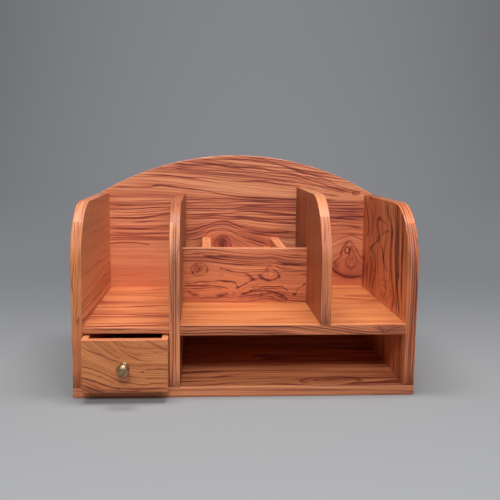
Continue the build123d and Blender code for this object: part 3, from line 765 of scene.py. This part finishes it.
# Drawer front
drawerFace = plain(
    "xz", 32.0, face=-117.5, base=0.25, rings=(160, 2.7, 0.3, 0.36),
    waver=((60, 16, 60, 0.8), (20, 6, 30, 0.4)),
    pale=(226, 146, 90), warm=(202, 119, 71), brown=(158, 83, 54), dark=(108, 53, 42),
    drifts=[
        ([(-154, -17), (-145, -14.5), (-133, -10), (-121, -4), (-108, -1), (-98, 0), (-70, 0)], -9, -8),
        ([(-154, -10), (-143, -8), (-130, -4), (-117, -1), (-105, 0), (-70, 0)], 38, 60),
    ],
    veins=[
        ([(-153, 55), (-147, 51), (-140, 48.5), (-133, 46), (-126, 42.5), (-118, 40.3)], 0.7, 0.55),
        ([(-144, 61), (-138, 57), (-131, 52), (-126, 48), (-121, 45), (-116, 43)], 0.5, 0.5),
        ([(-140, 61), (-134, 56), (-127, 50.5), (-121, 47)], 0.4, 0.3),
        ([(-130.5, 61), (-127, 56.5), (-124, 53), (-119, 49)], 0.55, 0.45),
        ([(-122, 58), (-117, 53), (-113, 49.5), (-109, 46), (-104, 43), (-98, 40.5),
          (-85, 40)], 0.5, 0.5),
        ([(-118, 60), (-113, 54), (-106, 48), (-98, 45)], 0.4, 0.3),
        ([(-96, 61), (-88, 57), (-80, 53), (-72, 50)], 0.9, 0.4),
        ([(-153, 35), (-145, 34), (-140, 32), (-133, 29), (-127, 26), (-121, 23), (-115, 21), (-108, 20),
          (-98, 18.3), (-92, 18), (-88, 19), (-72, 19)], 0.7, 0.6),
        ([(-153, 25), (-145, 23), (-138, 20.5), (-131, 18), (-124, 16), (-116, 14.3)], 0.9, 0.75),
        ([(-120, 15), (-105, 14), (-90, 14), (-72, 14)], 0.7, 0.5),
        ([(-153, 21.5), (-145, 19), (-136, 15.5), (-128, 12.5)], 0.6, 0.5),
        ([(-153, 18), (-146, 16), (-138, 13), (-131, 11)], 0.6, 0.55),
        ([(-153, 14.6), (-147, 12.6), (-142, 10.6)], 0.5, 0.45),
        ([(-130, 14.6), (-122, 12.6), (-112, 11.8), (-98, 11.6)], 0.5, 0.4),
        ([(-153, 30), (-143, 28), (-132, 24), (-122, 20)], 0.5, 0.25),
        ([(-100, 56), (-92, 52), (-84, 48), (-72, 46)], 0.6, 0.25),
        ([(-110, 36), (-98, 35.6), (-86, 37), (-72, 36)], 0.4, 0.25),
        ([(-94, 32), (-86, 32.5), (-80, 33), (-72, 32)], 0.6, 0.5),
        ([(-94, 23.5), (-86, 24), (-72, 24)], 0.5, 0.4),
        ([(-108, 26.5), (-104, 25.5), (-98, 25)], 0.4, 0.3),
    ],
    smudges=[
        (-96.2, 30.2, 1.1, 1.0, 0, 0.75), (-134.5, 26, 1.2, 1.8, 0, 0.2), (-145, 15, 17, 4.4, -18, 0.36),
        (-132, 12, 16, 2.4, -6, 0.2), (-98, 12, 32, 3, 0, 0.36), (-84, 45, 24, 9, -20, -0.08),
    ],
)
drawerTop = edgeLook("xy", 33.0, base=0.2, pale=(226, 134, 88), warm=(206, 114, 74))

# The figures of each kind of board, on its faces that look along X, Y and Z.
looks = {
    "backPanel": [plain("zy", 3.0, base=0.8), backFace, archEdge],
    "pocketFront": [plain("zy", 4.0), pocketFace, edgeLook("xy", 6.0, base=0.2)],
    "leftSide": [leftFace, leftFront, leftTop],
    "rightSide": [rightFace, rightFront, rightTop],
    "tallDivider": [tallFace, tallFront, tallTop],
    "shortDivider": [shortFace, shortFront, shortTop],
    "thinShelf": [plain("yz", 19.0), thinFront, thinTop],
    "thickShelf": [plain("yz", 22.0), thickFront, thickTop],
    "base": [edgeLook("yz", 25.0), baseFront, baseTop],
    "pocketDividers": [plain("yz", 28.0), edgeLook("zx", 29.0), edgeLook("yx", 30.0, base=0.15)],
    "drawerFront": [edgeLook("zy", 31.0), drawerFace, drawerTop],
    "drawerBoards": [plain("yz", 34.0), plain("xz", 35.0), plain("xy", 36.0, base=0.2)],
}
woods = {name: woodMaterial(name + "Wood", figures) for name, figures in looks.items()}
boardWood = {
    "back_panel": "backPanel", "pocket_front": "pocketFront", "left_side": "leftSide",
    "right_side": "rightSide", "tall_divider": "tallDivider", "short_divider": "shortDivider",
    "left_shelf": "thinShelf", "right_shelf": "thickShelf", "base_board": "base",
    "pocket_divider_left": "pocketDividers", "pocket_divider_right": "pocketDividers",
    "drawer_front": "drawerFront", "drawer_side_left": "drawerBoards",
    "drawer_side_right": "drawerBoards", "drawer_back": "drawerBoards",
    "drawer_bottom": "drawerBoards",
}
print("woods mixed:", len(woods))


def dress(target, material):
    target.data.materials.clear()
    target.data.materials.append(material)


for node, wood in boardWood.items():
    dress(nodes[node], woods[wood])


# Mesh helpers
def meshPiece(name, corners, faces, material, smooth=None):
    mesh = bpy.data.meshes.new(name)
    mesh.from_pydata(corners.tolist(), [], faces)
    if smooth is not None:
        mesh.polygons.foreach_set("use_smooth", smooth)
    mesh.update()
    piece = bpy.data.objects.new(name, mesh)
    bpy.context.scene.collection.objects.link(piece)
    dress(piece, material)
    return piece


def gridFaces(rows, columns, closed=False):
    # Four corners of each cell of a grid whose points run row by row.
    across = columns if closed else columns - 1
    row, column = np.meshgrid(np.arange(rows - 1), np.arange(across), indexing="ij")
    row, column = row.ravel(), column.ravel()
    beside = (column + 1) % columns
    first, second = row * columns, (row + 1) * columns
    return np.stack([first + column, first + beside, second + beside, second + column], 1)


def turnedFaces(rows, columns):
    # A closed grid of rows of points round an axis, with a flat face over each end row.
    ends = np.arange(columns)
    flats = [ends[::-1], (rows - 1) * columns + ends]
    return gridFaces(rows, columns, closed=True).tolist() + [flat.tolist() for flat in flats]


uprightShape = {
    "front": -102.5, "back": 92.5, "thickness": 10.0, "straight": 20.0, "arcSteps": 48,
    "arris": 0.7, "arrisSteps": 5, "flatEdge": 0.25,
}


def uprightPiece(name, node, innerX, foot, top, radius, material):
    # A strip of the board's edge: outline point (front, corner arc, top) along one direction, and
    # across the thickness a quarter round, a flat and a quarter round; flat cheeks close it.
    shape = uprightShape
    front, back, arris = shape["front"], shape["back"], shape["arris"]
    angle = np.linspace(0.0, np.pi / 2, shape["arcSteps"])
    arcY = front + radius - radius * np.cos(angle)
    arcZ = top - radius + radius * np.sin(angle)
    outY = np.concatenate([[front, front], arcY, [back]])
    outZ = np.concatenate([[foot, foot + shape["straight"]], arcZ, [top]])
    normY = np.concatenate([[-1.0, -1.0], -np.cos(angle), [0.0]])
    normZ = np.concatenate([[0.0, 0.0], np.sin(angle), [1.0]])
    turn = np.linspace(0.0, np.pi / 2, shape["arrisSteps"])
    sideX = np.append(arris * (1 - np.cos(turn)), arris + shape["flatEdge"])
    drop = np.append(arris * (1 - np.sin(turn)), 0.0)
    acrossX = np.concatenate([innerX + sideX, innerX + shape["thickness"] - sideX[::-1]])
    inset = np.concatenate([drop, drop[::-1]])
    y = outY[:, None] - normY[:, None] * inset[None, :]
    z = outZ[:, None] - normZ[:, None] * inset[None, :]
    x = np.broadcast_to(acrossX[None, :], y.shape)
    points = np.stack([x, y, z], 2).reshape(-1, 3) * mm
    rows, columns = y.shape
    corner = len(points)
    far = np.array([[innerX, back, foot], [innerX + shape["thickness"], back, foot]]) * mm
    points = np.vstack([points, far])
    order = np.arange(corner).reshape(rows, columns).tolist()
    faces = gridFaces(rows, columns)[:, ::-1].tolist()
    flats = [
        [corner] + [row[0] for row in order[::-1]],
        [row[-1] for row in order] + [corner + 1],
        order[0] + [corner + 1, corner],
        order[-1][::-1] + [corner, corner + 1],
    ]
    smooth = [True] * len(faces) + [False] * len(flats)
    piece = meshPiece(name, points, faces + flats, material, smooth)
    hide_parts(node)
    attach(piece, "carcass")


uprights = {  # wood: (node, inner x, foot, top, corner radius)
    "leftSide": ("left_side", -162.5, 10.0, 182.0, 58.0),
    "tallDivider": ("tall_divider", -72.5, 10.0, 182.0, 58.0),
    "shortDivider": ("short_divider", 70.0, 70.0, 190.0, 66.0),
    "rightSide": ("right_side", 152.5, 10.0, 182.0, 58.0),
}
for name, upright in uprights.items():
    uprightPiece(name, *upright, woods[name])
print("uprights shaped:", len(uprights))


stain = {"lump": 3.0, "seed": 2.0, "deepen": 0.7, "places": (0.35, 0.6), "roughSwing": (0.12, -0.05)}


def metalMaterial(name, colour, roughness):
    # Metal with a cloudy stain, darker and rougher where the cloud is thin.
    material = bpy.data.materials.new(name)
    material.use_nodes = True
    tree = material.node_tree
    shader = tree.nodes["Principled BSDF"]
    position = modelSpot(tree, tree.nodes.new("ShaderNodeTexCoord"))
    cloud = noise(tree, position, (stain["lump"],) * 3, stain["seed"], 4.0, 0.6)
    tones = (paint(*[channel * stain["deepen"] for channel in colour]), paint(*colour))
    tree.links.new(ramp(tree, cloud, list(zip(stain["places"], tones))), shader.inputs["Base Color"])
    rougher = [roughness + swing for swing in stain["roughSwing"]]
    tree.links.new(remap(tree, cloud, *usualSpread, *rougher), shader.inputs["Roughness"])
    shader.inputs["Metallic"].default_value = 1.0
    return material


metals = {"agedBrass": ((184, 152, 114), 0.3), "screwSteel": ((170, 168, 164), 0.35)}
brass, steel = [metalMaterial(name, *finish) for name, finish in metals.items()]
knob = {
    "middle": (-112.5, 35.3), "seat": -117.5, "turns": 64,
    "profile": [  # (distance from the drawer front, radius)
        (0.0, 4.3), (0.15, 4.4), (1.0, 4.4), (1.2, 4.2), (1.6, 3.5), (2.6, 2.85), (4.4, 2.65), (6.5, 3.0),
        (8.3, 4.0), (10.0, 5.1), (11.8, 5.8), (13.4, 6.0), (14.7, 5.85), (15.8, 5.3), (16.6, 4.4),
        (17.1, 3.2), (17.35, 1.8), (17.5, 0.3),
    ],
}


def knobPiece():
    # A profile of distance against radius, turned round the knob's axis.
    angle = np.linspace(0.0, 2 * np.pi, knob["turns"], endpoint=False)
    distance, radius = np.array(knob["profile"]).T[:, :, None]
    x = knob["middle"][0] + radius * np.cos(angle)
    z = knob["middle"][1] + radius * np.sin(angle)
    y = np.broadcast_to(knob["seat"] - distance, x.shape)
    points = np.stack([x, y, z], 2).reshape(-1, 3) * mm
    faces = turnedFaces(len(radius), knob["turns"])
    piece = meshPiece("brassKnob", points, faces, brass, [True] * len(faces))
    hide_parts("drawer_knob")
    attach(piece, "drawer")


knobPiece()
dress(nodes["knob_washer"], brass)
print("knob turned")

screwHead = {
    "turns": 80, "flat": (0.08, 2.4), "flatRings": 26,  # radii of the flat part, and its rings
    "armWidth": 0.6, "armReach": 1.8, "wall": 0.16, "endWall": 0.5, "depth": 1.1,  # cross recess
}
woodScrew = [(0.3, 2.9), (0.36, 3.0), (1.8, 1.5), (24.3, 1.5), (25.3, 0.5)]  # (depth, radius)
panScrew = [(0.0, 2.6), (0.15, 2.85), (0.4, 3.0), (1.8, 3.0), (1.8, 1.5), (14.6, 1.5)]
# piece: (node, body, two directions across, driving direction, outline, middles of the heads)
screwSets = {
    "baseScrews": (
        "base_screws", "carcass", (1, 0, 0), (0, 1, 0), (0, 0, 1), woodScrew,
        [(-157.5, -72.5, 0), (-157.5, 62.5, 0), (157.5, -72.5, 0), (157.5, 62.5, 0), (-67.5, -5, 0)],
    ),
    "backScrews": (
        "back_screws", "carcass", (1, 0, 0), (0, 0, 1), (0, -1, 0), woodScrew,
        [(x, 102.5, z) for x in (-157.5, 157.5) for z in (32, 160)]
        + [(x, 102.5, 130) for x in (-67.5, 75)],
    ),
    "knobScrew": (
        "knob_screw", "drawer", (1, 0, 0), (0, 0, 1), (0, -1, 0), panScrew,
        [(-112.5, -108.9, 35.3)],
    ),
}


def screwPiece(name, node, body, across, beside, inward, outline, spots):
    # Rows of points round the axis. Over the flat head the depth grows by a cross recess:
    # full where the shorter of the two distances from the middle lines is below half an arm.
    head = screwHead
    angle = np.linspace(0.0, 2 * np.pi, head["turns"], endpoint=False)
    flat = np.linspace(*head["flat"], head["flatRings"])
    depths, radii = np.array(outline).T
    radius = np.concatenate([flat, radii])[:, None]
    depth = np.concatenate([np.full(len(flat), depths[0]), depths])[:, None]
    u, v = radius * np.cos(angle), radius * np.sin(angle)
    near, far = np.minimum(abs(u), abs(v)), np.maximum(abs(u), abs(v))
    arm = np.clip((head["armWidth"] / 2 + head["wall"] - near) / head["wall"], 0, 1)
    end = np.clip((head["armReach"] - far) / head["endWall"], 0, 1)
    depth = depth + head["depth"] * arm * end
    shape = np.stack([u, v, depth], 2).reshape(-1, 3) @ np.array([across, beside, inward])
    faces = turnedFaces(len(radius), head["turns"])
    points = np.concatenate([shape + np.array(spot) for spot in spots]) * mm
    starts = [number * len(shape) for number in range(len(spots))]
    every = [[i + start for i in face] for start in starts for face in faces]
    piece = meshPiece(name, points, every, steel)
    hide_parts(node)
    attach(piece, body)


for name, screwSet in screwSets.items():
    screwPiece(name, *screwSet)
print("screws turned:", len(screwSets))

# Studio: one sweep of floor and backdrop, a long lamp overhead, two soft lamps at the sides, a
# small one in front and even fill. Its lengths are metres.
studio = {
    "halfWidth": 4.0, "floorFront": -4.0, "bendStart": 1.1, "bendRadius": 0.9, "bendSteps": 24,
    "wallTop": 3.4, "roughness": 0.9, "shine": 0.1,
    "floorRange": (-0.6, 0.9),  # way back and up that the floor's greys and painted shade cover
    # The floor darkens going back and up: painted shade.
    "floorGreysPaintedShade": [
        (0.0, (172, 173, 175)), (0.35, (158, 159, 161)), (0.6, (144, 145, 148)), (1.0, (132, 133, 137)),
    ],
    "wallRange": (0.2, 3.4),
    # The wall's greys and their brighter middle are painted light on a glowing backdrop.
    "wallGreysPaintedLight": [
        (0.0, (141, 142, 146)), (0.17, (128, 129, 133)), (0.5, (134, 135, 139)), (1.0, (130, 131, 135)),
    ],
    "wallMiddle": 0.16, "wallFall": 0.315, "fallRange": (0.9, 1.6), "wallLeast": 0.4,  # painted pool of light on the wall, brightest at the middle
    "farBlend": (0.8, 1.8), "wallBlend": (0.25, 0.7),  # where the lit floor gives way to the glowing grey with its painted light
    "lamps": {  # name: (place, width, depth, power)
        "topLamp": ((0.0, -0.08, 1.5), 1.1, 0.4, 18.5),
        "leftKey": ((-0.85, -1.75, 1.5), 0.75, 0.75, 6.4),
        "rightKey": ((0.85, -1.75, 1.5), 0.75, 0.75, 8.0),
        "frontKey": ((-0.08, -1.6, 1.22), 0.24, 0.24, 10.5),
    },
    "aim": (0.0, 0.0, 0.1),
    "fill": 0.08, "fillTint": (250, 250, 255), "mirrorGrey": (136, 137, 140),
}
view = {
    "place": (-0.0383, -0.738, 0.2305), "lens": 50.0, "sensor": 36.0,
    "yaw": 3.664, "pitch": 7.985, "roll": 0.647,  # degrees to the right, down and clockwise
}


def sweepPiece():
    # Floor, quarter bend and wall as one profile of depth against height, drawn out sideways.
    turn = np.linspace(0.0, np.pi / 2, studio["bendSteps"])
    bend, start = studio["bendRadius"], studio["bendStart"]
    y = np.concatenate([[studio["floorFront"]], start + bend * np.sin(turn), [start + bend]])
    z = np.concatenate([[0.0], bend * (1 - np.cos(turn)), [studio["wallTop"]]])
    x = np.array([-studio["halfWidth"], studio["halfWidth"]])
    grid = np.broadcast_arrays(x[None, :], y[:, None], z[:, None])
    points = np.stack(grid, 2).reshape(-1, 3)
    faces = gridFaces(len(y), 2).tolist()
    piece = meshPiece("studioSweep", points, faces, sweepMaterial(), [True] * len(faces))


def sweepMaterial():
    material = bpy.data.materials.new("greySweep")
    material.use_nodes = True
    tree = material.node_tree
    shader = tree.nodes["Principled BSDF"]
    shader.inputs["Roughness"].default_value = studio["roughness"]
    shader.inputs["Specular IOR Level"].default_value = studio["shine"]
    coordinates = tree.nodes.new("ShaderNodeTexCoord")
    split = tree.nodes.new("ShaderNodeSeparateXYZ")
    tree.links.new(coordinates.outputs["Object"], split.inputs[0])
    run = calc(tree, "ADD", split.outputs[1], split.outputs[2])
    # The floor's grey, darkened going back: painted shade.
    stops = [(place, paint(*grey)) for place, grey in studio["floorGreysPaintedShade"]]
    floor = ramp(tree, remap(tree, run, *studio["floorRange"]), stops)
    tree.links.new(floor, shader.inputs["Base Color"])
    # Seen straight on or in a reflection, the far part glows with painted light: a grey that is brighter
    # in the middle and falls off to the sides.
    stops = [(place, paint(*grey)) for place, grey in studio["wallGreysPaintedLight"]]
    wall = ramp(tree, remap(tree, run, *studio["wallRange"]), stops, "EASE")
    offset = calc(tree, "SUBTRACT", split.outputs[0], studio["wallMiddle"])
    fall = calc(tree, "MULTIPLY", calc(tree, "MULTIPLY", offset, offset), -studio["wallFall"])
    away = remap(tree, run, *studio["fallRange"])
    strength = calc(tree, "MAXIMUM", calc(tree, "MULTIPLY_ADD", fall, away, 1.0), studio["wallLeast"])
    paintedWallGlow = addNode(tree, "ShaderNodeEmission", {0: wall, 1: strength})
    path = tree.nodes.new("ShaderNodeLightPath").outputs
    seen = calc(tree, "MAXIMUM", path["Is Camera Ray"], path["Is Glossy Ray"])
    flat = addNode(tree, "ShaderNodeCombineXYZ", {0: split.outputs[0], 1: split.outputs[1]})
    distance = addNode(tree, "ShaderNodeVectorMath", {0: flat}, 1, operation="LENGTH")
    farOff = remap(tree, distance, *studio["farBlend"], kind="SMOOTHSTEP")
    behind = remap(tree, run, *studio["wallBlend"], kind="SMOOTHSTEP")
    share = calc(tree, "MULTIPLY", seen, calc(tree, "MAXIMUM", behind, farOff))
    mixed = addNode(tree, "ShaderNodeMixShader", {0: share, 1: shader.outputs[0], 2: paintedWallGlow})
    tree.links.new(mixed, tree.nodes["Material Output"].inputs["Surface"])
    return material


def fillWorld():
    # Even pale light from all around, which the camera and reflections see as a plain grey.
    world = bpy.data.worlds.new("softFill")
    world.use_nodes = True
    tree = world.node_tree
    rays = tree.nodes.new("ShaderNodeLightPath").outputs
    mirrored = calc(tree, "MAXIMUM", rays["Is Camera Ray"], rays["Is Glossy Ray"])
    even = tree.nodes["Background"]
    even.inputs[0].default_value = paint(*studio["fillTint"])
    even.inputs[1].default_value = studio["fill"]
    grey = addNode(tree, "ShaderNodeBackground", {0: paint(*studio["mirrorGrey"]), 1: 1.0})
    shown = addNode(tree, "ShaderNodeMixShader", {0: mirrored, 1: even.outputs[0], 2: grey})
    tree.links.new(shown, tree.nodes["World Output"].inputs[0])
    bpy.context.scene.world = world


def hangLamp(name, place, width, depth, power):
    lamp = bpy.data.lights.new(name, "AREA")
    lamp.shape = "RECTANGLE"
    lamp.size = width
    lamp.size_y = depth
    lamp.energy = power
    hung = bpy.data.objects.new(name, lamp)
    hung.location = place
    aim = Vector(place) - Vector(studio["aim"])
    hung.rotation_euler = aim.to_track_quat("Z", "Y").to_euler()
    bpy.context.scene.collection.objects.link(hung)


def placeCamera():
    # Ahead from yaw and pitch, then right and up turned about it by the roll.
    lens = bpy.data.cameras.new("camera")
    lens.lens = view["lens"]
    lens.sensor_width = view["sensor"]
    camera = bpy.data.objects.new("camera", lens)
    yaw, pitch, roll = [np.radians(view[key]) for key in ("yaw", "pitch", "roll")]
    ahead = Vector((np.sin(yaw) * np.cos(pitch), np.cos(yaw) * np.cos(pitch), -np.sin(pitch)))
    beside = Vector((np.cos(yaw), -np.sin(yaw), 0.0))
    above = beside.cross(ahead)
    right = np.cos(roll) * beside + np.sin(roll) * above
    up = np.cos(roll) * above - np.sin(roll) * beside
    basis = Matrix((right, up, -ahead)).transposed().to_4x4()
    camera.matrix_world = Matrix.Translation(Vector(view["place"])) @ basis
    bpy.context.scene.collection.objects.link(camera)
    bpy.context.scene.camera = camera


sweepPiece()
fillWorld()
for name, lamp in studio["lamps"].items():
    hangLamp(name, *lamp)
placeCamera()
bpy.context.scene.view_settings.view_transform = "Standard"
print("studio ready")
